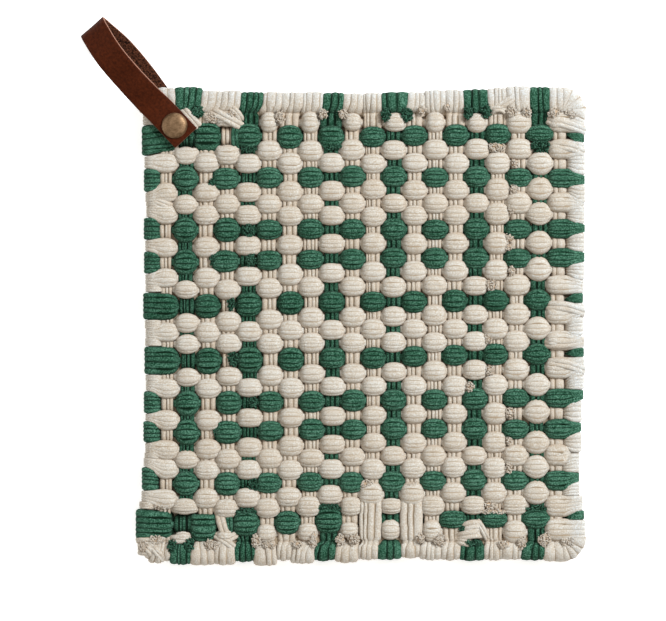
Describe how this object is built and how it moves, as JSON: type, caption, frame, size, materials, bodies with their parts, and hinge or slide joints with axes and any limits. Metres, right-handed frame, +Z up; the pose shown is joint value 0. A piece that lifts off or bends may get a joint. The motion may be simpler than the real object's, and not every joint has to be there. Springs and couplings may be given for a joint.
{
  "type": "pot holder",
  "caption": "Thick square pot holder woven from cream and green cotton strips, with a rolled hem and a riveted leather loop at one corner for hanging.",
  "frame": {"origin": "on the surface that the pad rests on, under the middle of the pad (within 3 mm of its centre, at a flat patch of the underside)", "axes": "+Z up out of the face that shows, +Y along the warp towards the edge that has the strap, +X along the weft to the right"},
  "size_m": [0.2319, 0.2514, 0.0172],
  "materials": {
    "cotton_cream": "undyed cotton jersey strips, matt, slightly fuzzy",
    "cotton_green": "forest green cotton jersey strips, matt, slightly fuzzy",
    "strap_leather": "red-brown leather, smooth and waxed outside, rough suede inside",
    "antique_brass": "antique brass, brushed satin"
  },
  "bodies": {
    "root": {"woven_pad": "cotton_cream", "leather_strap": "strap_leather", "rivet_cap": "antique_brass", "rivet_back": "antique_brass"}
  },
  "joints": []
}
